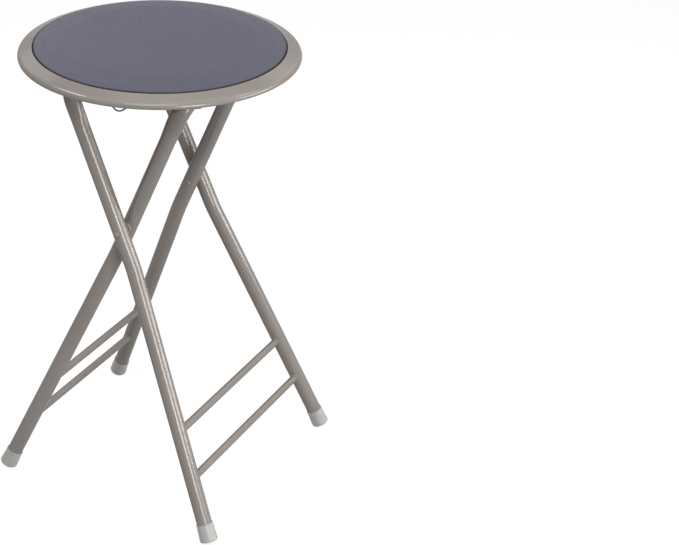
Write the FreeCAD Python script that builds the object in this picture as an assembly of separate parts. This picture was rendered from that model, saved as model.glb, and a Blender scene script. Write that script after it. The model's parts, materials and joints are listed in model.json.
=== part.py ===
import FreeCAD, Part
import math
import os

# Folding bar stool: two crossed frames of bent steel tube and a round padded seat.
# Millimetres, +Z up. The origin is on the floor under the middle of the seat. The frames fold
# along X and turn about an axis along Y. "Near" pieces lie at -Y and "far" pieces at +Y.

V = FreeCAD.Vector

# Frames: each is an inverted U of tube in a plane that leans away from the vertical. Its top
# bends are pressed flatter, as thin tube is when it is bent tight: wider across the plane than in it.
PIVOT_X = -1.7
PIVOT_Z = 382.0
LEAN = math.radians(23.4)
CROSSBAR_Z = 571.0
TUBE_OD = 20.0
TUBE_WALL = 1.2
TOP_BEND_R = 38.0
BEND_WIDE_R = 11.6
BEND_FLAT_R = 8.1
BEND_LEAD = 32.0
BEND_LEAD_STEPS = 5
BEND_STEPS = 8
SPLAY_BEND_R = 150.0
SPLAY_BEND_Z = 336.5

# Half widths are between tube centres. Taper and splay are per millimetre of height.
OUTER = {"name": "outer", "top": -1, "bend_half": 100.5, "taper": 0.043, "splay": 0.177}
INNER = {"name": "inner", "top": 1, "bend_half": 75.9, "taper": 0.012, "splay": 0.189}

# Rungs
RUNG_OD = 10.0
RUNG_WALL = 1.0
RUNG_HEIGHTS = {"upper": 138.0, "lower": 80.2}
RUNG_INTO_LEG = 7.5
RUNG_HOLE_GAP = 0.02

# Slip-on feet
FOOT_FACE_Z = 3.9
FOOT_FLOOR = 3.5
FOOT_LENGTH = 24.0
FOOT_BASE_R = 11.8
FOOT_NECK_R = 10.9
FOOT_LIP_R = 11.2
FOOT_LIP = 1.6
FOOT_EDGE_R = 1.8
FOOT_BORE_GAP = 0.03

# Pivots
RIVET_R = 3.0
RIVET_HEAD_R = 4.4
RIVET_HEAD_H = 2.0
RIVET_PRESS_GAP = 0.02
RIVET_RUNNING_GAP = 0.06
RIVET_HEAD_GAP = 0.4
WASHER_R = 7.5
WASHER_T = 2.4
WASHER_GAP = 0.15

# Seat
BOARD_R = 164.0
BOARD_Z = 583.0
BOARD_T = 9.0
RIM_INNER_R = 157.0
RIM_OUTER_R = 175.5
RIM_EDGE_Z = 588.6
RIM_ROLL_R = 6.6
RIM_BEAD_R = 2.7
RIM_SHEET = 1.2
RIM_SLOPE = math.radians(21.0)
RIM_LIP_Z = 597.3
CUSHION_FOOT_R = 161.0
CUSHION_FOOT_H = 2.4
CUSHION_WAIST_R = 156.2
CUSHION_WAIST_Z = 595.6
CUSHION_EDGE_Z = 600.2
CUSHION_ARCS = ((1.5, 67.0), (26.0, 87.0))

# Seat hardware: straps round the inner crossbar, catches over the outer one, tabs for the rim
STRAP_T = 1.5
STRAP_GAP = 0.08
CLIP_Y = 22.0
CLIP_W = 16.0
CLIP_REACH = 25.5
CLIP_SCREW = 19.0
CATCH_Y = 38.0
CATCH_W = 18.0
CATCH_REACH = 26.0
CATCH_SCREW = 19.0
CATCH_GAP = 0.4
CATCH_TOP_GAP = 0.3
CATCH_LONG_Z = 566.5
CATCH_SHORT_Z = 576.5
TAB_ANGLES = (45.0, 135.0, 225.0, 315.0)
TAB_W = 16.0
TAB_INNER_R = 147.0
TAB_WALL_R = 164.4
TAB_LIP_R = 172.0
TAB_LIP_Z = 589.0
TAB_SCREW_R = 154.5
PLATE_CORNER = 3.0

# Wood screws
SCREW_HEAD_R = 3.6
SCREW_RIM_H = 0.8
SCREW_DOME_H = 1.3
SCREW_SHANK_R = 1.6
SCREW_DEPTH = 7.0
SCREW_PILOT_GAP = 0.05
SCREW_HOLE_R = 1.9
CROSS_W = 0.9
CROSS_L = 4.2
CROSS_DEPTH = 1.2

# Wire bail under the seat
BAIL_X = -22.0
BAIL_AXIS_Z = 577.0
BAIL_HALF = 82.5
BAIL_BOTTOM_Z = 526.5
BAIL_WIRE_R = 1.0
BAIL_CORNER_R = 30.0
BAIL_TOP_R = 3.0
BAIL_END_IN = 8.5
EYE_IN = 5.5
EYE_WIRE_R = 1.1
EYE_GAP = 0.08
EYE_DEPTH = 7.0

TUBE_R = TUBE_OD / 2
RUNG_R = RUNG_OD / 2
BOARD_TOP = BOARD_Z + BOARD_T
PLATE_Z = BOARD_Z - STRAP_T


def along_slope(height):
    """Distance up a frame's plane from the pivot to a height above the floor."""
    return (height - PIVOT_Z) / math.cos(LEAN)


def half_width(frame, height):
    """Distance in Y from the middle of the stool to a leg's centre."""
    above = height - SPLAY_BEND_Z
    if above > 0:
        return frame["bend_half"] - frame["taper"] * above
    return frame["bend_half"] - frame["splay"] * above


def frame_point(frame, height, y):
    x = PIVOT_X + frame["top"] * along_slope(height) * math.sin(LEAN)
    return V(x, y, height)


def leg_point(frame, height, side):
    return frame_point(frame, height, side * half_width(frame, height))


def leg_direction(frame, side):
    """Unit vector down the lower part of a leg."""
    bend = leg_point(frame, SPLAY_BEND_Z, side)
    foot = leg_point(frame, FOOT_FACE_Z, side)
    return (foot - bend).normalize()


def bent_path(points, radii):
    """Straight runs joined by tangent arcs, one radius for each inner point."""
    edges = []
    start = points[0]
    for before, corner, after, radius in zip(points, points[1:], points[2:], radii):
        back = (before - corner).normalize()
        ahead = (after - corner).normalize()
        turn = math.pi - back.getAngle(ahead)
        reach = radius * math.tan(turn / 2)
        enter = corner + back * reach
        leave = corner + ahead * reach
        inward = (back + ahead).normalize()
        middle = corner + inward * (radius / math.cos(turn / 2) - radius)
        edges.append(Part.LineSegment(start, enter).toShape())
        edges.append(Part.Arc(enter, middle, leave).toShape())
        start = leave
    edges.append(Part.LineSegment(start, points[-1]).toShape())
    return Part.Wire(edges)


def swept(path, radius):
    """Round bar along a path."""
    first = path.Edges[0]
    start = first.valueAt(first.FirstParameter)
    circle = Part.Circle(start, first.tangentAt(first.FirstParameter), radius)
    return path.makePipeShell([Part.Wire(circle.toShape())], True, False)


def profile(start, *steps):
    """Closed face in the XZ plane. A step is an end point, or (middle, end) for an arc."""
    edges = []
    here = V(start[0], 0, start[1])
    for step in steps:
        is_arc = isinstance(step[0], tuple)
        there = V(step[-1][0], 0, step[-1][1]) if is_arc else V(step[0], 0, step[1])
        if is_arc:
            middle = V(step[0][0], 0, step[0][1])
            edges.append(Part.Arc(here, middle, there).toShape())
        else:
            edges.append(Part.LineSegment(here, there).toShape())
        here = there
    edges.append(Part.LineSegment(here, V(start[0], 0, start[1])).toShape())
    return Part.Face(Part.Wire(edges))


def revolved(face):
    """Solid of revolution about the Z axis."""
    return face.revolve(V(0, 0, 0), V(0, 0, 1), 360)


def placed(shape, origin, direction):
    """Copy of a shape whose own Z axis is moved to a point and direction."""
    moved = shape.copy()
    moved.Placement = FreeCAD.Placement(origin, FreeCAD.Rotation(V(0, 0, 1), direction))
    return moved


def on_circle(radius, degrees):
    """A profile point at an angle from the radial direction, towards +Z."""
    angle = math.radians(degrees)
    return radius * math.cos(angle), radius * math.sin(angle)


def dome(radius, height):
    """Round cap with a flat base on the XY plane."""
    sphere_r = (radius ** 2 + height ** 2) / (2 * height)
    half = math.asin(radius / sphere_r) / 2
    middle = (sphere_r * math.sin(half), sphere_r * math.cos(half) - sphere_r + height)
    return revolved(profile((0, 0), (radius, 0), (middle, (0, height))))


def box(x0, x1, y0, y1, z0, z1):
    return Part.makeBox(x1 - x0, y1 - y0, z1 - z0, V(x0, y0, z0))


def plate(x0, x1, y0, y1, z0, z1):
    """Flat plate with rounded corners."""
    slab = box(x0, x1, y0, y1, z0, z1)
    corners = [e for e in slab.Edges if abs(e.tangentAt(0).z) > 0.9]
    return slab.makeFillet(PLATE_CORNER, corners)


def top_corner(frame, side):
    """Corner of a frame's top bend, with the directions out of it down the leg and along the crossbar."""
    corner = leg_point(frame, CROSSBAR_Z, side)
    leg = (leg_point(frame, SPLAY_BEND_Z, side) - corner).normalize()
    return corner, leg, V(0, -side, 0)


def bend_reach(leg, bar):
    """Distance from a top corner to where its bend begins."""
    return TOP_BEND_R * math.tan((math.pi - leg.getAngle(bar)) / 2)


def leg_path(frame, side):
    """Centre line of a leg, from inside its foot to where the tube starts to flatten."""
    corner, leg, bar = top_corner(frame, side)
    foot = leg_point(frame, FOOT_FACE_Z, side) - leg_direction(frame, side) * FOOT_FLOOR
    knee = leg_point(frame, SPLAY_BEND_Z, side)
    return bent_path([foot, knee, corner + leg * (bend_reach(leg, bar) + BEND_LEAD)], [SPLAY_BEND_R])


def eased(share):
    """Smooth step from 0 to 1."""
    return share * share * (3 - 2 * share)


def bend_section(centre, tangent, across, flatness, inset):
    """Outline of the tube in its bend: wider across the frame's plane and thinner within it."""
    wide = TUBE_R + (BEND_WIDE_R - TUBE_R) * flatness - inset
    thin = TUBE_R - (TUBE_R - BEND_FLAT_R) * flatness - inset
    if flatness == 0:
        round_end = Part.Circle(centre, tangent, wide)
        round_end.XAxis = across
        return Part.Wire(round_end.toShape())
    within = tangent.cross(across)
    return Part.Wire(Part.Ellipse(centre + across * wide, centre + within * thin, centre).toShape())


def flattened_bend(frame, side, inset):
    """Top bend of a tube, pressed flatter as such bends are. An inset gives the bore."""
    corner, leg, bar = top_corner(frame, side)
    reach = bend_reach(leg, bar)
    across = leg.cross(bar).normalize()
    begin = corner + leg * reach
    turn = math.pi - leg.getAngle(bar)
    inward = (bar - leg * bar.dot(leg)).normalize()
    centre = begin + inward * TOP_BEND_R
    sections = []
    for step in range(BEND_LEAD_STEPS):
        share = step / BEND_LEAD_STEPS
        sections.append(bend_section(begin + leg * BEND_LEAD * (1 - share), -leg, across, eased(share), inset))
    for step in range(BEND_STEPS + 1):
        share = step / BEND_STEPS
        angle = turn * share
        out = inward * -math.cos(angle) - leg * math.sin(angle)
        tangent = inward * math.sin(angle) - leg * math.cos(angle)
        flatness = eased(min(1, 2 - 2 * share))
        sections.append(bend_section(centre + out * TOP_BEND_R, tangent, across, flatness, inset))
    return Part.makeLoft(sections, True, False)


def tube_body(frame, inset):
    """Solid of a frame's tube to its outside, or to its bore for an inset of the wall."""
    pieces = []
    for side in (-1, 1):
        pieces.append(swept(leg_path(frame, side), TUBE_R - inset))
        pieces.append(flattened_bend(frame, side, inset))
    corner, leg, bar = top_corner(frame, -1)
    start = corner + bar * bend_reach(leg, bar)
    pieces.append(Part.makeCylinder(TUBE_R - inset, -2 * start.y, start, V(0, 1, 0)))
    return pieces[0].fuse(pieces[1:])


def rung(frame, height, radius, reach_in):
    half = half_width(frame, height) - reach_in
    start = frame_point(frame, height, -half)
    return Part.makeCylinder(radius, 2 * half, start, V(0, 1, 0))


def frame_tube(frame, pivot_gap):
    tube = tube_body(frame, 0).cut(tube_body(frame, TUBE_WALL))
    for height in RUNG_HEIGHTS.values():
        tube = tube.cut(rung(frame, height, RUNG_R + RUNG_HOLE_GAP, 0))
    reach = half_width(OUTER, PIVOT_Z) + TUBE_OD
    drill = Part.makeCylinder(RIVET_R + pivot_gap, 2 * reach, V(PIVOT_X, -reach, PIVOT_Z), V(0, 1, 0))
    return tube.cut(drill)


def frame_rung(frame, height):
    outside = rung(frame, height, RUNG_R, RUNG_INTO_LEG)
    return outside.cut(rung(frame, height, RUNG_R - RUNG_WALL, RUNG_INTO_LEG - 1))


def foot(frame, side):
    """Slip-on foot, cut square to the leg, with a small flat where it meets the floor."""
    corner = on_circle(FOOT_EDGE_R, -45)
    edge_r = FOOT_BASE_R - FOOT_EDGE_R
    bore = TUBE_R + FOOT_BORE_GAP
    lip_z = FOOT_LENGTH - FOOT_LIP
    body = revolved(profile(
        (0, 0),
        (edge_r, 0),
        ((edge_r + corner[0], FOOT_EDGE_R + corner[1]), (FOOT_BASE_R, FOOT_EDGE_R)),
        (FOOT_BASE_R, FOOT_FLOOR),
        (FOOT_NECK_R, lip_z),
        ((FOOT_LIP_R, lip_z + FOOT_LIP / 2), (FOOT_NECK_R, FOOT_LENGTH)),
        (bore, FOOT_LENGTH),
        (bore, FOOT_FLOOR),
        (0, FOOT_FLOOR)))
    base = leg_point(frame, FOOT_FACE_Z, side)
    foot_shape = placed(body, base, -leg_direction(frame, side))
    under_floor = box(base.x - 40, base.x + 40, base.y - 40, base.y + 40, -40, 0)
    return foot_shape.cut(under_floor)


def pivot_rivet(side):
    """Rivet through both tubes of one side, with a domed head at each end."""
    inside = half_width(INNER, PIVOT_Z) - TUBE_R
    outside = half_width(OUTER, PIVOT_Z) + TUBE_R + RIVET_HEAD_GAP
    outward = V(0, side, 0)
    start = V(PIVOT_X, side * inside, PIVOT_Z)
    shank = Part.makeCylinder(RIVET_R, outside - inside, start, outward)
    head = dome(RIVET_HEAD_R, RIVET_HEAD_H)
    outer_head = placed(head, V(PIVOT_X, side * outside, PIVOT_Z), outward)
    seat_depth = 1.2
    skirt = Part.makeCylinder(RIVET_HEAD_R, seat_depth, start, outward)
    inner_head = placed(head, start, -outward).fuse(skirt)
    inner_head = inner_head.cut(swept(leg_path(INNER, side), TUBE_R))
    return shank.fuse([outer_head, inner_head])


def pivot_washer(side):
    start = half_width(INNER, PIVOT_Z) + TUBE_R + WASHER_GAP
    base = V(PIVOT_X, side * start, PIVOT_Z)
    disc = Part.makeCylinder(WASHER_R, WASHER_T, base, V(0, side, 0))
    bore = Part.makeCylinder(RIVET_R + RIVET_PRESS_GAP, WASHER_T, base, V(0, side, 0))
    return disc.cut(bore)


def seat_cushion():
    """Crowned pad, drawn in where it passes through the rim."""
    steps = [(CUSHION_FOOT_R, BOARD_TOP), (CUSHION_FOOT_R, BOARD_TOP + CUSHION_FOOT_H)]
    steps += [(CUSHION_WAIST_R, CUSHION_WAIST_Z), (CUSHION_WAIST_R, CUSHION_EDGE_Z)]
    r, z, angle = CUSHION_WAIST_R, CUSHION_EDGE_Z, 0.0
    for radius, end_angle in CUSHION_ARCS:
        centre = (r - on_circle(radius, angle)[0], z - on_circle(radius, angle)[1])
        middle = on_circle(radius, (angle + end_angle) / 2)
        end = on_circle(radius, end_angle)
        r, z, angle = centre[0] + end[0], centre[1] + end[1], end_angle
        steps.append(((centre[0] + middle[0], centre[1] + middle[1]), (r, z)))
    crown_r = r / on_circle(1, angle)[0]
    centre_z = z - on_circle(crown_r, angle)[1]
    middle = on_circle(crown_r, (angle + 90) / 2)
    steps.append(((middle[0], centre_z + middle[1]), (0, centre_z + crown_r)))
    return revolved(profile((0, BOARD_TOP), *steps))


def seat_rim():
    """Pressed ring: a sloping face, a rounded shoulder and a rolled bead along the lower edge."""
    shoulder = RIM_OUTER_R - RIM_ROLL_R
    bead = RIM_OUTER_R - RIM_BEAD_R
    slope_deg = 90 - math.degrees(RIM_SLOPE)
    inner_roll = RIM_ROLL_R - RIM_SHEET
    inner_bead = RIM_BEAD_R - RIM_SHEET

    def rolled(radius, degrees):
        dr, dz = on_circle(radius, degrees)
        return shoulder + dr, RIM_EDGE_Z + dz

    top = rolled(RIM_ROLL_R, slope_deg)
    under = rolled(inner_roll, slope_deg)
    lip_r = RIM_INNER_R + RIM_SHEET
    lip_top = top[1] + (top[0] - lip_r) * math.tan(RIM_SLOPE)
    lip_under = under[1] + (under[0] - lip_r) * math.tan(RIM_SLOPE)
    round_in = on_circle(RIM_SHEET, 135)
    face = profile(
        (RIM_INNER_R, RIM_LIP_Z),
        (RIM_INNER_R, lip_top - RIM_SHEET),
        ((lip_r + round_in[0], lip_top - RIM_SHEET + round_in[1]), (lip_r, lip_top)),
        top,
        (rolled(RIM_ROLL_R, slope_deg / 2), (RIM_OUTER_R, RIM_EDGE_Z)),
        ((bead, RIM_EDGE_Z - RIM_BEAD_R), (bead - RIM_BEAD_R, RIM_EDGE_Z)),
        (bead - inner_bead, RIM_EDGE_Z),
        ((bead, RIM_EDGE_Z - inner_bead), (bead + inner_bead, RIM_EDGE_Z)),
        (rolled(inner_roll, slope_deg / 2), under),
        (lip_r, lip_under),
        (lip_r, RIM_LIP_Z))
    return revolved(face)


def screw(x, y, head_z):
    """Round-head wood screw, driven upwards, with its head's flat side at head_z."""
    head_base = placed(dome(SCREW_HEAD_R, SCREW_DOME_H), V(x, y, head_z - SCREW_RIM_H), V(0, 0, -1))
    band = Part.makeCylinder(SCREW_HEAD_R, SCREW_RIM_H, V(x, y, head_z - SCREW_RIM_H))
    depth = BOARD_Z - head_z + SCREW_DEPTH
    shank = Part.makeCylinder(SCREW_SHANK_R, depth, V(x, y, head_z))
    solid = band.fuse([head_base, shank])
    bottom = head_z - SCREW_RIM_H - SCREW_DOME_H
    for long_x, long_y in ((CROSS_L, CROSS_W), (CROSS_W, CROSS_L)):
        slot = box(x - long_x / 2, x + long_x / 2, y - long_y / 2, y + long_y / 2,
                   bottom - 1, bottom + CROSS_DEPTH)
        solid = solid.cut(slot)
    return solid


def crossbar_x(frame):
    return frame_point(frame, CROSSBAR_Z, 0).x


def clip_screw_places():
    middle = crossbar_x(INNER)
    return [(middle + dx, side * CLIP_Y) for side in (-1, 1) for dx in (-CLIP_SCREW, CLIP_SCREW)]


def catch_screw_places():
    middle = crossbar_x(OUTER)
    return [(middle + dx, side * CATCH_Y) for side in (-1, 1) for dx in (-CATCH_SCREW, CATCH_SCREW)]


def tab_screw_places():
    return [on_circle(TAB_SCREW_R, degrees) for degrees in TAB_ANGLES]


def eye_places():
    return [(BAIL_X, side * (BAIL_HALF - EYE_IN)) for side in (-1, 1)]


def screw_holes(places, z0, z1):
    holes = [Part.makeCylinder(SCREW_HOLE_R, z1 - z0, V(x, y, z0)) for x, y in places]
    return holes[0].fuse(holes[1:])


def seat_board():
    board = Part.makeCylinder(BOARD_R, BOARD_T, V(0, 0, BOARD_Z))
    pilots = clip_screw_places() + catch_screw_places() + tab_screw_places()
    for x, y in pilots:
        board = board.cut(Part.makeCylinder(SCREW_SHANK_R + SCREW_PILOT_GAP, SCREW_DEPTH, V(x, y, BOARD_Z)))
    for x, y in eye_places():
        board = board.cut(Part.makeCylinder(EYE_WIRE_R + SCREW_PILOT_GAP, EYE_DEPTH, V(x, y, BOARD_Z)))
    return board


def hinge_clip(side):
    """Strap and backing plate round the inner crossbar, the seat's hinge."""
    middle = crossbar_x(INNER)
    y0 = side * CLIP_Y - CLIP_W / 2
    y1 = y0 + CLIP_W
    bore_r = TUBE_R + STRAP_GAP
    wrap_r = bore_r + STRAP_T
    centre = V(middle, y0, CROSSBAR_Z)
    wrap = Part.makeCylinder(wrap_r, CLIP_W, centre, V(0, 1, 0))
    walls = box(middle - wrap_r, middle + wrap_r, y0, y1, CROSSBAR_Z, PLATE_Z)
    flange = plate(middle - CLIP_REACH, middle + CLIP_REACH, y0, y1, PLATE_Z, BOARD_Z)
    bore = Part.makeCylinder(bore_r, CLIP_W, centre, V(0, 1, 0))
    slot = box(middle - bore_r, middle + bore_r, y0, y1, CROSSBAR_Z, CROSSBAR_Z + bore_r)
    solid = flange.fuse([wrap, walls]).cut(bore.fuse(slot))
    return solid.cut(screw_holes(clip_screw_places(), PLATE_Z, BOARD_Z)).removeSplitter()


def crossbar_catch(side):
    """Channel that drops over the outer crossbar. Its inner cheek is short, to let the bar out."""
    middle = crossbar_x(OUTER)
    y0 = side * CATCH_Y - CATCH_W / 2
    y1 = y0 + CATCH_W
    plate_low = CROSSBAR_Z + TUBE_R + CATCH_TOP_GAP
    cheek = TUBE_R + CATCH_GAP
    base = plate(middle - CATCH_REACH, middle + CATCH_REACH, y0, y1, plate_low, BOARD_Z)
    long_cheek = box(middle - cheek - STRAP_T, middle - cheek, y0, y1, CATCH_LONG_Z, BOARD_Z)
    short_cheek = box(middle + cheek, middle + cheek + STRAP_T, y0, y1, CATCH_SHORT_Z, BOARD_Z)
    solid = base.fuse([long_cheek, short_cheek])
    return solid.cut(screw_holes(catch_screw_places(), plate_low, BOARD_Z)).removeSplitter()


def board_tab(degrees):
    """Bent tab: a foot under the board, a wall past its edge and a lip over the rim's curl."""
    half = TAB_W / 2
    foot_plate = plate(TAB_INNER_R, TAB_WALL_R + STRAP_T, -half, half, PLATE_Z, BOARD_Z)
    square_end = box(TAB_WALL_R - PLATE_CORNER, TAB_WALL_R + STRAP_T, -half, half, PLATE_Z, BOARD_Z)
    wall = box(TAB_WALL_R, TAB_WALL_R + STRAP_T, -half, half, PLATE_Z, TAB_LIP_Z + STRAP_T)
    lip = box(TAB_WALL_R, TAB_LIP_R, -half, half, TAB_LIP_Z, TAB_LIP_Z + STRAP_T)
    hole = screw_holes([(TAB_SCREW_R, 0)], PLATE_Z, BOARD_Z)
    tab = foot_plate.fuse([square_end, wall, lip]).cut(hole).removeSplitter()
    tab.rotate(V(0, 0, 0), V(0, 0, 1), degrees)
    return tab


def bail_eye(side):
    """Screw eye that one end of the bail turns in."""
    x, y = BAIL_X, side * (BAIL_HALF - EYE_IN)
    ring_r = BAIL_WIRE_R + EYE_GAP + EYE_WIRE_R
    ring = Part.makeTorus(ring_r, EYE_WIRE_R, V(x, y, BAIL_AXIS_Z), V(0, 1, 0))
    shank_z = BAIL_AXIS_Z + ring_r
    shank = Part.makeCylinder(EYE_WIRE_R, BOARD_Z + EYE_DEPTH - shank_z, V(x, y, shank_z))
    return ring.fuse(shank)


def latch_bail():
    """Wire bail: its ends turn inwards through the eyes."""
    corners = ((BAIL_HALF - BAIL_END_IN, BAIL_AXIS_Z), (BAIL_HALF, BAIL_AXIS_Z), (BAIL_HALF, BAIL_BOTTOM_Z))
    points = [V(BAIL_X, -y, z) for y, z in corners]
    points += [V(BAIL_X, y, z) for y, z in reversed(corners)]
    radii = (BAIL_TOP_R, BAIL_CORNER_R, BAIL_CORNER_R, BAIL_TOP_R)
    return swept(bent_path(points, radii), BAIL_WIRE_R)


def group(shapes):
    return Part.makeCompound(shapes)


def side_name(side):
    return "near" if side < 0 else "far"


def stool_nodes():
    """Every piece of the stool by its name."""
    nodes = {"seat_cushion": seat_cushion(), "seat_board": seat_board(), "seat_rim": seat_rim()}
    nodes["outer_frame_tube"] = frame_tube(OUTER, RIVET_RUNNING_GAP)
    nodes["inner_frame_tube"] = frame_tube(INNER, RIVET_PRESS_GAP)
    for frame in (OUTER, INNER):
        for level, height in RUNG_HEIGHTS.items():
            nodes[frame["name"] + "_" + level + "_rung"] = frame_rung(frame, height)
    for side in (-1, 1):
        end = "_" + side_name(side)
        nodes["outer_foot" + end] = foot(OUTER, side)
        nodes["inner_foot" + end] = foot(INNER, side)
        nodes["pivot_rivet" + end] = pivot_rivet(side)
        nodes["pivot_washer" + end] = pivot_washer(side)
        nodes["hinge_clip" + end] = hinge_clip(side)
        nodes["crossbar_catch" + end] = crossbar_catch(side)
        nodes["bail_eye" + end] = bail_eye(side)
    catch_head_z = CROSSBAR_Z + TUBE_R + CATCH_TOP_GAP
    nodes["hinge_clip_screws"] = group([screw(x, y, PLATE_Z) for x, y in clip_screw_places()])
    nodes["catch_screws"] = group([screw(x, y, catch_head_z) for x, y in catch_screw_places()])
    nodes["board_tab_screws"] = group([screw(x, y, PLATE_Z) for x, y in tab_screw_places()])
    nodes["board_tabs"] = group([board_tab(degrees) for degrees in TAB_ANGLES])
    nodes["latch_bail"] = latch_bail()
    return nodes


os.makedirs("parts", exist_ok=True)
for name, shape in stool_nodes().items():
    shape.exportStep("parts/" + name + ".step")
    print(f"{name:20s} solids {len(shape.Solids)} valid {shape.isValid()} volume {shape.Volume:.0f}")
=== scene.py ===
import bmesh
import bpy
import json
import math
from mathutils import Matrix, Vector


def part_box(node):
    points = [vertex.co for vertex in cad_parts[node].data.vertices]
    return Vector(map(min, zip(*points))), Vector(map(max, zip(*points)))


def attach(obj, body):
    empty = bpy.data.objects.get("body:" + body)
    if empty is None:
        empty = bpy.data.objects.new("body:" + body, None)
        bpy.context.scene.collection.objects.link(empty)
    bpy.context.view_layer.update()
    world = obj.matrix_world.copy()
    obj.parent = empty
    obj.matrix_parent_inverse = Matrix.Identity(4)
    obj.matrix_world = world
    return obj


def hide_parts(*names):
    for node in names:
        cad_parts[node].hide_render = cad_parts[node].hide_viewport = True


# Folding bar stool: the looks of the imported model. Metres, in the model's own frame.

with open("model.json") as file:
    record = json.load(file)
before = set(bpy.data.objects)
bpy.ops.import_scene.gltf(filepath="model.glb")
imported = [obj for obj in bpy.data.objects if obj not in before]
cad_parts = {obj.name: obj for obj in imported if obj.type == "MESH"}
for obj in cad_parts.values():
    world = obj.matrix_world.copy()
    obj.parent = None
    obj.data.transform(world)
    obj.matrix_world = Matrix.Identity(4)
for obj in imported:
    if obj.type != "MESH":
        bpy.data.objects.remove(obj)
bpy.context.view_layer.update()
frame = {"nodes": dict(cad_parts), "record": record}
nodes = frame["nodes"]

# Camera of the photograph
CAMERA_AT = Vector((1.09611, -1.78978, 1.41693))
CAMERA_RIGHT = Vector((0.89636, 0.44185, 0.0361))
CAMERA_UP = Vector((-0.23889, 0.41282, 0.87893))
LENS_MM = 95.34
SENSOR_MM = 36.0
SIGHT_END = 50.0

# Frames, as in the solids
PIVOT_X = -0.0017
PIVOT_Z = 0.382
LEAN = math.radians(23.4)
SPLAY_BEND_Z = 0.3365
TUBE_R = 0.010
RUNG_R = 0.005
FRAMES = {"outer": {"top": -1, "bend_half": 0.1005, "splay": 0.177},
          "inner": {"top": 1, "bend_half": 0.0759, "splay": 0.189}}

# Cushion, as in the solids
BOARD_TOP = 0.592
PAD_FOOT_R = 0.161
PAD_FOOT_Z = 0.5942
PAD_WAIST_R = 0.1562
PAD_WAIST_Z = 0.5956
PAD_EDGE_Z = 0.6002
PAD_ARCS = ((0.0015, 67.0), (0.026, 87.0))

# Cushion cover: steps round its two arcs, its gap to the board, and its underside's flat disc
PAD_ARC_STEPS = (4, 7)
PAD_LIFT = 0.0002
PAD_HEM = 0.0005
PAD_FLAT_R = 0.150
PAD_CELLS = 56

# Painted shade: a dark line painted on the cover where it is tucked in, between two heights
TUCK_SHADE_LOW = 0.6001
TUCK_SHADE_HIGH = 0.6006

# Filling of the cover by cloth simulation
PAD_SLACK = 0.88
PAD_PRESSURE = 4.0
PAD_MASS = 0.3
PAD_STRETCH = 18.0
PAD_SHEAR = 8.0
PAD_BEND = 0.6
PAD_QUALITY = 6
PAD_FRAMES = 20
PAD_MOVE_CAP = 0.0020
PAD_EVENING = 12


def add(tree, kind, inputs=None, **settings):
    """Adds a shader node, sets its properties, and fills or links its inputs."""
    node = tree.nodes.new(kind)
    for key, value in settings.items():
        setattr(node, key, value)
    for key, value in (inputs or {}).items():
        if isinstance(value, bpy.types.NodeSocket):
            tree.links.new(value, node.inputs[key])
        else:
            node.inputs[key].default_value = value
    return node


def new_material(name, **constants):
    """A Principled material whose plain values sit on the shader's own sockets."""
    made = bpy.data.materials.new(name)
    made.use_nodes = True
    shader = made.node_tree.nodes["Principled BSDF"]
    for key, value in constants.items():
        shader.inputs[key.replace("_", " ")].default_value = value
    return made, made.node_tree, shader


def coords(tree, stretch=(1, 1, 1)):
    """Object coordinates, which are metres in the model's frame, stretched along the axes."""
    place = add(tree, "ShaderNodeTexCoord")
    return add(tree, "ShaderNodeMapping", {"Vector": place.outputs["Object"], "Scale": stretch}).outputs[0]


def noise(tree, where, scale, detail=3.0, rough=0.5):
    """Soft noise with about this many blotches per metre."""
    inputs = {"Vector": where, "Scale": scale, "Detail": detail, "Roughness": rough}
    return add(tree, "ShaderNodeTexNoise", inputs).outputs["Fac"]


def cells(tree, where, scale, output="Distance", feature="F1"):
    """A pattern of small cells, this many per metre."""
    inputs = {"Vector": where, "Scale": scale}
    return add(tree, "ShaderNodeTexVoronoi", inputs, feature=feature).outputs[output]


def ramp(tree, value, low, high, out_low, out_high):
    """Maps low..high to out_low..out_high, and holds it there outside."""
    inputs = {"Value": value, "From Min": low, "From Max": high, "To Min": out_low, "To Max": out_high}
    return add(tree, "ShaderNodeMapRange", inputs).outputs[0]


def spread(tree, value, out_low, out_high):
    """Maps the usual range of a noise to out_low..out_high."""
    return ramp(tree, value, NOISE_LOW, NOISE_HIGH, out_low, out_high)


def mix(tree, factor, a, b, blend="MIX"):
    """Mixes two colours. A mix node's colour sockets are 6 and 7, and its colour result is 2."""
    node = add(tree, "ShaderNodeMix", data_type="RGBA", blend_type=blend)
    for index, value in ((0, factor), (6, a), (7, b)):
        if isinstance(value, bpy.types.NodeSocket):
            tree.links.new(value, node.inputs[index])
        else:
            node.inputs[index].default_value = value
    return node.outputs[2]


def bump(tree, height, strength, distance, under=None):
    """A bump from a height, on top of another one where that is given."""
    inputs = {"Height": height, "Strength": strength, "Distance": distance}
    if under:
        inputs["Normal"] = under
    return add(tree, "ShaderNodeBump", inputs).outputs[0]


def feed(tree, shader, **sockets):
    """Links patterns to the shader's sockets."""
    for key, value in sockets.items():
        tree.links.new(value, shader.inputs[key.replace("_", " ")])


def grey(value):
    return (value, value, value, 1.0)


def times(colour, factor):
    """The colour made lighter or darker."""
    return tuple(c * factor for c in colour[:3]) + (1.0,)


# Usual range of a noise
NOISE_LOW = 0.3
NOISE_HIGH = 0.7

# Colours, linear
PAINT = (0.290, 0.264, 0.245, 1)
VINYL = (0.110, 0.107, 0.146, 1)
FOOT_GREY = (0.46, 0.46, 0.44, 1)
ZINC = (0.42, 0.42, 0.41, 1)
PLY_LIGHT = (0.50, 0.36, 0.21, 1)
PLY_DARK = (0.33, 0.21, 0.11, 1)
NYLON = (0.34, 0.33, 0.30, 1)
WIRE = (0.012, 0.012, 0.012, 1)
ZINC_GOLD = (0.46, 0.42, 0.33, 1)

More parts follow.
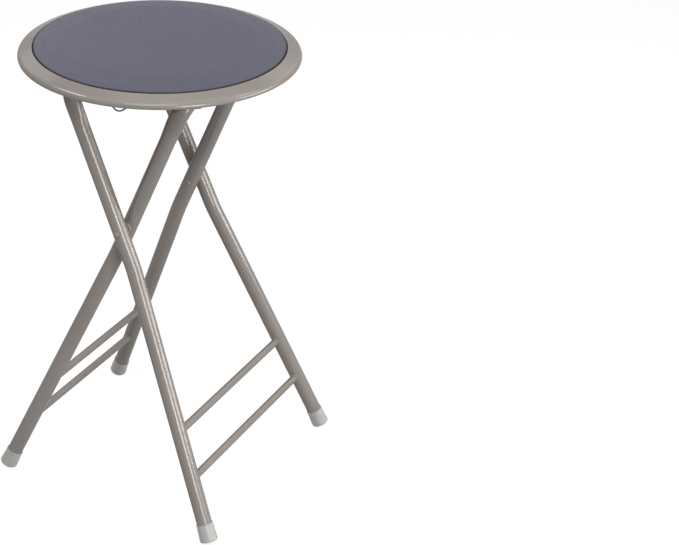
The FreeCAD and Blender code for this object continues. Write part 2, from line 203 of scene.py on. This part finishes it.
# Patterns, in blotches or cells per metre
PAINT_MOTTLE = 14.0
PAINT_RUB = 55.0
PAINT_SATIN = 90.0
PAINT_PEEL = 150.0
PAINT_FLAKE = 1500.0
VINYL_CLOUD = 9.0
VINYL_SATIN = 160.0
VINYL_WANDER = 300.0
VINYL_GRAIN = 620.0
VINYL_PORES = 2200.0
FOOT_CLOUD = 120.0
FOOT_SKIN = 900.0
ZINC_STREAK = 60.0
ZINC_SPANGLE = 260.0
WIRE_SATIN = 300.0
WIRE_WEAR = 500.0
PLY_FIGURE = 7.0
PLY_PORES = 40.0
NYLON_CLOUD = 300.0

# Heights of bumps and how far the grain's cells are bent out of line, in metres
PEEL_HEIGHT = 0.0004
GRAIN_HEIGHT = 0.0003
PORE_HEIGHT = 0.0002
GRAIN_WANDER = 0.0012
SKIN_HEIGHT = 0.0003
STREAK_HEIGHT = 0.0003
PLY_HEIGHT = 0.0004
DUST_TOP = 0.006


def paint_material():
    """Satin paint with a little metal in it: fine flake, faint mottle and rubbed patches."""
    made, tree, shader = new_material(
        "frame_paint", Metallic=0.17, IOR=1.5, Specular_IOR_Level=0.05, Specular_Tint=grey(0.3))
    where = coords(tree)
    mottle = noise(tree, where, PAINT_MOTTLE, 4.0)
    flake = noise(tree, where, PAINT_FLAKE, 2.0)
    colour = mix(tree, spread(tree, mottle, 0.0, 1.0), times(PAINT, 0.95), times(PAINT, 1.05))
    speckle = mix(tree, spread(tree, flake, 0.0, 1.0), grey(0.94), grey(1.06))
    colour = mix(tree, 1.0, colour, speckle, "MULTIPLY")
    rubbed = ramp(tree, noise(tree, where, PAINT_RUB, 6.0, 0.7), 0.62, 0.74, 0.0, 0.12)
    colour = mix(tree, rubbed, colour, times(PAINT, 1.3))
    rough = spread(tree, noise(tree, where, PAINT_SATIN, 5.0), 0.18, 0.23)
    peel = bump(tree, noise(tree, where, PAINT_PEEL, 2.0), 0.004, PEEL_HEIGHT)
    feed(tree, shader, Base_Color=colour, Roughness=rough, Normal=peel)
    return made


def vinyl_material():
    """Soft-sheen vinyl with a fine leather grain of small cells and creases, painted shade in the creases,
    and a painted shade line along its tucked-in edge.
    """
    made, tree, shader = new_material("seat_vinyl", Specular_IOR_Level=0.25, IOR=1.4)
    where = coords(tree)
    drift = add(tree, "ShaderNodeTexNoise", {"Vector": where, "Scale": VINYL_WANDER, "Detail": 2.0})
    bent = add(tree, "ShaderNodeMix", data_type="VECTOR")
    # A vector mix takes its vectors at 4 and 5, and gives its result at 1
    tree.links.new(where, bent.inputs[4])
    tree.links.new(drift.outputs["Color"], bent.inputs[5])
    bent.inputs[0].default_value = GRAIN_WANDER
    grain = cells(tree, bent.outputs[1], VINYL_GRAIN, "Distance", "DISTANCE_TO_EDGE")
    crease = ramp(tree, grain, 0.0, 0.22, 0.0, 1.0)
    cloud = noise(tree, where, VINYL_CLOUD, 3.0)
    colour = mix(tree, spread(tree, cloud, 0.0, 1.0), times(VINYL, 0.97), times(VINYL, 1.03))
    # Painted shade in the grain: the edges of its cells are darkened a little
    colour = mix(tree, ramp(tree, crease, 0.0, 1.0, 0.16, 0.0), colour, times(VINYL, 0.55))
    # Painted shade: the cover is darkened below the tuck heights, standing in for the shade in the tuck
    height = add(tree, "ShaderNodeSeparateXYZ", {"Vector": where}).outputs["Z"]
    colour = mix(tree, ramp(tree, height, TUCK_SHADE_LOW, TUCK_SHADE_HIGH, 0.8, 0.0), colour, times(VINYL, 0.1))
    rough = spread(tree, noise(tree, where, VINYL_SATIN, 4.0), 0.48, 0.58)
    pebbled = bump(tree, crease, 0.22, GRAIN_HEIGHT)
    soft = bump(tree, noise(tree, where, VINYL_PORES, 2.0), 0.05, PORE_HEIGHT, pebbled)
    feed(tree, shader, Base_Color=colour, Roughness=rough, Normal=soft)
    return made


def foot_material():
    """Pale grey moulded plastic, a little translucent, with dust near the floor."""
    made, tree, shader = new_material(
        "foot_plastic", Subsurface_Weight=0.15, Subsurface_Scale=0.004, IOR=1.46)
    where = coords(tree)
    up = add(tree, "ShaderNodeSeparateXYZ", {"Vector": where}).outputs["Z"]
    cloud = noise(tree, where, FOOT_CLOUD, 4.0)
    colour = mix(tree, spread(tree, cloud, 0.0, 1.0), times(FOOT_GREY, 0.94), times(FOOT_GREY, 1.06))
    dust = ramp(tree, up, 0.0, DUST_TOP, 0.5, 0.0)
    colour = mix(tree, dust, colour, times(FOOT_GREY, 0.62))
    rough = spread(tree, cloud, 0.28, 0.40)
    skin = bump(tree, noise(tree, where, FOOT_SKIN, 3.0), 0.08, SKIN_HEIGHT)
    feed(tree, shader, Base_Color=colour, Roughness=rough, Normal=skin)
    return made


def zinc_material():
    """Zinc-plated steel: grey spangle and pale gold streaks."""
    made, tree, shader = new_material("zinc_steel", Metallic=1.0)
    where = coords(tree)
    spangle = cells(tree, where, ZINC_SPANGLE, "Color")
    colour = mix(tree, 0.12, ZINC, spangle, "SOFT_LIGHT")
    streak = noise(tree, coords(tree, (1, 12, 1)), ZINC_STREAK, 5.0)
    colour = mix(tree, ramp(tree, streak, 0.4, 0.7, 0.0, 0.35), colour, ZINC_GOLD)
    rough = spread(tree, streak, 0.28, 0.46)
    feed(tree, shader, Base_Color=colour, Roughness=rough, Normal=bump(tree, streak, 0.06, STREAK_HEIGHT))
    return made


def wire_material():
    """Black lacquered spring wire, worn in places."""
    made, tree, shader = new_material("dark_wire", IOR=1.45, Specular_IOR_Level=0.2)
    where = coords(tree)
    worn = ramp(tree, noise(tree, where, WIRE_WEAR, 4.0), 0.6, 0.75, 0.0, 0.3)
    rough = spread(tree, noise(tree, where, WIRE_SATIN), 0.25, 0.4)
    feed(tree, shader, Base_Color=mix(tree, worn, WIRE, grey(0.05)), Roughness=rough)
    return made


def plywood_material():
    """Bare plywood: long grain along X, pores and a little blotching."""
    made, tree, shader = new_material("plywood", IOR=1.4)
    along = coords(tree, (1, 14, 14))
    figure = noise(tree, along, PLY_FIGURE, 6.0, 0.6)
    pores = noise(tree, coords(tree, (1, 30, 30)), PLY_PORES, 4.0)
    colour = mix(tree, ramp(tree, figure, 0.35, 0.65, 0.0, 1.0), PLY_LIGHT, PLY_DARK)
    colour = mix(tree, ramp(tree, pores, 0.58, 0.72, 0.0, 0.5), colour, times(PLY_DARK, 0.5))
    rough = spread(tree, figure, 0.55, 0.75)
    feed(tree, shader, Base_Color=colour, Roughness=rough, Normal=bump(tree, pores, 0.15, PLY_HEIGHT))
    return made


def nylon_material():
    """Moulded nylon, pale and a little cloudy."""
    made, tree, shader = new_material("nylon", Subsurface_Weight=0.1, Subsurface_Scale=0.003)
    where = coords(tree)
    cloud = noise(tree, where, NYLON_CLOUD, 3.0)
    colour = mix(tree, cloud, times(NYLON, 0.9), NYLON)
    feed(tree, shader, Base_Color=colour, Roughness=spread(tree, cloud, 0.4, 0.55))
    return made


def emission_share(tree):
    """1 for what the camera sees directly, in gloss or through glass, and 0 for other light."""
    ray = add(tree, "ShaderNodeLightPath").outputs
    seen = ray["Is Camera Ray"]
    for kind in ("Is Glossy Ray", "Is Transmission Ray"):
        seen = add(tree, "ShaderNodeMath", {0: seen, 1: ray[kind]}, operation="MAXIMUM").outputs[0]
    return seen


FLOOR_ALBEDO = 0.22
FLOOR_LIFT = 0.86
FLOOR_HALF = 30.0


def floor_material():
    """Pale floor. It keeps the shadows, and is lifted to near white for rays that see it."""
    made = bpy.data.materials.new("floor_white")
    made.use_nodes = True
    tree = made.node_tree
    tree.nodes.clear()
    plain = add(tree, "ShaderNodeBsdfDiffuse", {"Color": grey(FLOOR_ALBEDO)})
    seen = emission_share(tree)
    level = add(tree, "ShaderNodeMath", {0: seen, 1: FLOOR_LIFT}, operation="MULTIPLY")
    glow = add(tree, "ShaderNodeEmission", {"Color": grey(1.0), "Strength": level.outputs[0]})
    total = add(tree, "ShaderNodeAddShader")
    tree.links.new(plain.outputs[0], total.inputs[0])
    tree.links.new(glow.outputs[0], total.inputs[1])
    add(tree, "ShaderNodeOutputMaterial", {"Surface": total.outputs[0]})
    return made


materials = {
    "frame_paint": paint_material(),
    "vinyl": vinyl_material(),
    "foot_plastic": foot_material(),
    "zinc_steel": zinc_material(),
    "dark_wire": wire_material(),
    "plywood": plywood_material(),
    "nylon": nylon_material(),
}


def dress_cad_nodes():
    """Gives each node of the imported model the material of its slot."""
    for part in frame["record"]["subparts"]:
        node = nodes[part["node"]]
        node.data.materials.clear()
        node.data.materials.append(materials[part["material_slot"]])


def new_piece(name, mesh_data, body, slot):
    """A smooth-shaded mesh object that rides on a body and takes a slot's material."""
    piece = bpy.data.objects.new(name, mesh_data)
    bpy.context.scene.collection.objects.link(piece)
    mesh_data.materials.append(materials[slot])
    for polygon in mesh_data.polygons:
        polygon.use_smooth = True
    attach(piece, body)
    return piece


def arc_points(radius, centre, start, end, count):
    """Points round an arc in the (r, z) plane, from after its start to its end, in degrees."""
    turns = [math.radians(start + (end - start) * (i + 1) / count) for i in range(count)]
    return [(centre[0] + radius * math.cos(a), centre[1] + radius * math.sin(a)) for a in turns]


def pad_profile():
    """Cushion section from the middle of its foot up to the crown, as (r, z) points."""
    points = [(PAD_FOOT_R - PAD_HEM, BOARD_TOP + PAD_LIFT), (PAD_FOOT_R - PAD_LIFT, PAD_FOOT_Z)]
    points += [(PAD_WAIST_R, PAD_WAIST_Z), (PAD_WAIST_R, PAD_EDGE_Z)]
    r, z, angle = PAD_WAIST_R, PAD_EDGE_Z, 0.0
    for (radius, end), count in zip(PAD_ARCS, PAD_ARC_STEPS):
        turn = math.radians(angle)
        centre = (r - radius * math.cos(turn), z - radius * math.sin(turn))
        points += arc_points(radius, centre, angle, end, count)
        r, z = points[-1]
        angle = end
    return points


def crown_height(r, edge):
    """Height of the shallow crown inside the last point of the profile."""
    edge_r, edge_z = edge
    crown_r = edge_r / math.cos(math.radians(PAD_ARCS[-1][1]))
    return edge_z + math.sqrt(crown_r ** 2 - r ** 2) - math.sqrt(crown_r ** 2 - edge_r ** 2)


def disc_grid(made, radius, height_at):
    """A square grid drawn onto a disc. Returns its rim vertices in order."""
    n = PAD_CELLS
    grid = []
    for i in range(n + 1):
        u = 2 * i / n - 1
        row = []
        for j in range(n + 1):
            v = 2 * j / n - 1
            x = radius * u * math.sqrt(1 - v * v / 2)
            y = radius * v * math.sqrt(1 - u * u / 2)
            row.append(made.verts.new((x, y, height_at(math.hypot(x, y)))))
        grid.append(row)
    for i in range(n):
        for j in range(n):
            made.faces.new((grid[i][j], grid[i + 1][j], grid[i + 1][j + 1], grid[i][j + 1]))
    rim = [grid[i][0] for i in range(n)] + [grid[n][j] for j in range(n)]
    return rim + [grid[i][n] for i in range(n, 0, -1)] + [grid[0][j] for j in range(n, 0, -1)]


def ring_through(made, rim, r, z):
    """A ring of vertices at radius r, at the same angles as the rim's."""
    ring = []
    for vertex in rim:
        angle = math.atan2(vertex.co.y, vertex.co.x)
        ring.append(made.verts.new((r * math.cos(angle), r * math.sin(angle), z)))
    return ring


def join_rings(made, first, second):
    """Faces between two closed rings of vertices."""
    for k in range(len(first)):
        n = (k + 1) % len(first)
        made.faces.new((first[k], first[n], second[n], second[k]))


def slack(z):
    """Lets the cushion down a little above its waist, before the filling pushes it up."""
    return PAD_WAIST_Z + (z - PAD_WAIST_Z) * PAD_SLACK if z > PAD_WAIST_Z else z


def cushion_mesh():
    """The cover as one closed skin: a flat bottom, the tucked edge, the shoulder and the crown."""
    outline = pad_profile()
    made = bmesh.new()
    top = disc_grid(made, outline[-1][0], lambda r: slack(crown_height(r, outline[-1])))
    ring = top
    for r, z in reversed(outline[:-1]):
        following = ring_through(made, top, r, slack(z))
        join_rings(made, following, ring)
        ring = following
    bottom = disc_grid(made, PAD_FLAT_R, lambda r: BOARD_TOP + PAD_LIFT)
    join_rings(made, bottom, ring)
    bmesh.ops.recalc_face_normals(made, faces=made.faces)
    data = bpy.data.meshes.new("cushion_cover")
    made.to_mesh(data)
    made.free()
    return data


def evened(data, steps):
    """Averages each vertex's movement with its neighbours', which takes out the mesh's own ripples."""
    for _ in range(PAD_EVENING):
        total = [step.copy() for step in steps]
        count = [1] * len(steps)
        for edge in data.edges:
            a, b = edge.vertices
            total[a] += steps[b]
            total[b] += steps[a]
            count[a] += 1
            count[b] += 1
        steps = [t / c for t, c in zip(total, count)]
    return steps


def swell(piece):
    """Fills the cover by cloth simulation under pressure. Its tucked edge and underside stay put."""
    rest = [v.co.copy() for v in piece.data.vertices]
    held = piece.vertex_groups.new(name="held")
    held.add([i for i, p in enumerate(rest) if p.z < PAD_EDGE_Z], 1.0, "REPLACE")
    cloth = piece.modifiers.new("filling", "CLOTH")
    settings = cloth.settings
    settings.quality = PAD_QUALITY
    settings.mass = PAD_MASS
    settings.tension_stiffness = PAD_STRETCH
    settings.compression_stiffness = PAD_STRETCH
    settings.shear_stiffness = PAD_SHEAR
    settings.bending_stiffness = PAD_BEND
    settings.use_pressure = True
    settings.uniform_pressure_force = PAD_PRESSURE
    settings.effector_weights.gravity = 0.0
    settings.vertex_group_mass = "held"
    cloth.collision_settings.use_collision = False
    scene = bpy.context.scene
    for step in range(1, PAD_FRAMES + 1):
        scene.frame_set(step)
    graph = bpy.context.evaluated_depsgraph_get()
    moved = [v.co.copy() for v in piece.evaluated_get(graph).data.vertices]
    piece.modifiers.remove(cloth)
    scene.frame_set(1)
    steps = evened(piece.data, [end - start for start, end in zip(rest, moved)])
    for vertex, start, step in zip(piece.data.vertices, rest, steps):
        if step.length > PAD_MOVE_CAP:
            step = step * (PAD_MOVE_CAP / step.length)
        vertex.co = start + step


def make_cushion():
    """The filled vinyl cover, which stands for the cushion's solid."""
    piece = new_piece("seat_cushion_cover", cushion_mesh(), "seat", "vinyl")
    swell(piece)
    smoother = piece.modifiers.new("finer", "SUBSURF")
    smoother.levels = smoother.render_levels = 1
    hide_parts("seat_cushion")


def leg_axis(name, rung_box, side):
    """Point on a leg's centre line at a rung's height, and the leg's direction."""
    shape = FRAMES[name]
    z = (rung_box[0].z + rung_box[1].z) / 2
    half = shape["bend_half"] + shape["splay"] * (SPLAY_BEND_Z - z)
    x = PIVOT_X + shape["top"] * (z - PIVOT_Z) * math.tan(LEAN)
    slope = Vector((-shape["top"] * math.tan(LEAN), side * shape["splay"], -1)).normalized()
    return Vector((x, side * half, z)), slope


WELD_R = 0.00115
WELD_STEPS = 96
WELD_SIDES = 10
WELD_RIPPLES = 15
WELD_RIPPLE_BY = 0.10


def weld_line(centre, slope, side):
    """Closed line where a rung's surface meets a leg's, on the leg's inner side."""
    line = []
    for k in range(WELD_STEPS):
        turn = 2 * math.pi * k / WELD_STEPS
        a, b = RUNG_R * math.cos(turn), RUNG_R * math.sin(turn)
        lead = a * slope.x + b * slope.z
        square = 1 - slope.y ** 2
        half_b = -slope.y * lead
        rest = RUNG_R ** 2 - lead ** 2 - TUBE_R ** 2
        root = math.sqrt(half_b ** 2 - square * rest)
        t = (-half_b - side * root) / square
        line.append(centre + Vector((a, t, b)))
    return line


def weld_mesh(name, centre, slope, side):
    """Small rippled bead along the weld line."""
    line = weld_line(centre, slope, side)
    made = bmesh.new()
    rings = []
    for k, point in enumerate(line):
        ahead = line[(k + 1) % WELD_STEPS] - line[k - 1]
        forward = ahead.normalized()
        outward = (point - Vector((centre.x, point.y, centre.z))).normalized()
        across = forward.cross(outward).normalized()
        outward = across.cross(forward)
        ripple = 1 + WELD_RIPPLE_BY * math.sin(2 * math.pi * WELD_RIPPLES * k / WELD_STEPS + side)
        ring = []
        for j in range(WELD_SIDES):
            turn = 2 * math.pi * j / WELD_SIDES
            offset = outward * math.cos(turn) + across * math.sin(turn)
            ring.append(made.verts.new(point + offset * WELD_R * ripple))
        rings.append(ring)
    for k in range(WELD_STEPS):
        join_rings(made, rings[k], rings[(k + 1) % WELD_STEPS])
    bmesh.ops.recalc_face_normals(made, faces=made.faces)
    data = bpy.data.meshes.new(name)
    made.to_mesh(data)
    made.free()
    return data


def make_welds():
    """A bead at each end of each rung."""
    for name in FRAMES:
        for level in ("upper", "lower"):
            rung_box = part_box(name + "_" + level + "_rung")
            for side, end in ((-1, "near"), (1, "far")):
                piece_name = "_".join(("weld", name, level, end))
                centre, slope = leg_axis(name, rung_box, side)
                data = weld_mesh(piece_name, centre, slope, side)
                new_piece(piece_name, data, name + "_frame", "frame_paint")


def make_floor():
    """A flat sheet under the feet, wide enough to reach the horizon in every view."""
    made = bmesh.new()
    bmesh.ops.create_grid(made, x_segments=2, y_segments=2, size=FLOOR_HALF)
    data = bpy.data.meshes.new("floor")
    made.to_mesh(data)
    made.free()
    floor = bpy.data.objects.new("floor", data)
    bpy.context.scene.collection.objects.link(floor)
    data.materials.append(floor_material())


def make_camera():
    """The camera at the photograph's place, as fitted to the stool's edges."""
    data = bpy.data.cameras.new("photo_camera")
    data.lens = LENS_MM
    data.sensor_width = SENSOR_MM
    data.clip_end = SIGHT_END
    camera = bpy.data.objects.new("photo_camera", data)
    back = CAMERA_RIGHT.cross(CAMERA_UP)
    turn = Matrix((CAMERA_RIGHT, CAMERA_UP, back)).transposed()
    camera.matrix_world = Matrix.Translation(CAMERA_AT) @ turn.to_4x4()
    bpy.context.scene.collection.objects.link(camera)
    bpy.context.scene.camera = camera


AIM = Vector((0, 0, 0.30))
# Name, azimuth from -Y towards +X, elevation, distance, width, height, radiance
SOFTBOXES = (
    ("key", 20.0, 50.0, 2.8, 1.4, 1.4, 3.8),
    ("strip_front_right", 54.0, 10.5, 2.6, 0.9, 0.8, 11.0),
    ("strip_right_low", 108.0, 6.0, 2.6, 1.6, 0.4, 11.0),
    ("strip_right", 108.0, 15.0, 2.6, 1.6, 0.4, 2.6),
    ("right", 112.0, 46.0, 2.6, 0.6, 0.4, 9.0),
    ("left", -60.0, 50.0, 2.6, 1.0, 0.4, 13.0),
    ("left_back", -120.0, 35.0, 2.6, 1.4, 1.0, 1.3),
    ("back", 165.0, 35.0, 2.6, 1.4, 1.0, 1.3),
    ("top", 0.0, 88.0, 2.4, 1.8, 1.8, 0.9),
)


def make_softbox(name, azimuth, elevation, distance, width, height, radiance):
    """An area lamp that faces the stool, and that the camera doesn't see."""
    data = bpy.data.lights.new(name, "AREA")
    data.shape = "RECTANGLE"
    data.size = width
    data.size_y = height
    data.energy = radiance * math.pi * width * height
    lamp = bpy.data.objects.new(name, data)
    a, e = math.radians(azimuth), math.radians(elevation)
    away = Vector((math.sin(a) * math.cos(e), -math.cos(a) * math.cos(e), math.sin(e)))
    lamp.location = AIM + away * distance
    lamp.visible_camera = False
    lamp.rotation_euler = away.to_track_quat("Z", "Y").to_euler()
    bpy.context.scene.collection.objects.link(lamp)


WORLD_LEVEL = 0.14


def make_world():
    """Even fill. It is white where the camera, gloss or glass sees it."""
    world = bpy.data.worlds.new("studio")
    world.use_nodes = True
    tree = world.node_tree
    tree.nodes.clear()
    level = ramp(tree, emission_share(tree), 0.0, 1.0, WORLD_LEVEL, 1.0)
    sky = add(tree, "ShaderNodeBackground", {"Color": grey(1.0), "Strength": level})
    add(tree, "ShaderNodeOutputWorld", {"Surface": sky.outputs[0]})
    bpy.context.scene.world = world


bpy.context.scene.view_settings.view_transform = "Standard"
dress_cad_nodes()
make_camera()
make_world()
make_floor()
for softbox in SOFTBOXES:
    make_softbox(*softbox)
make_cushion()
make_welds()

bpy.context.view_layer.update()
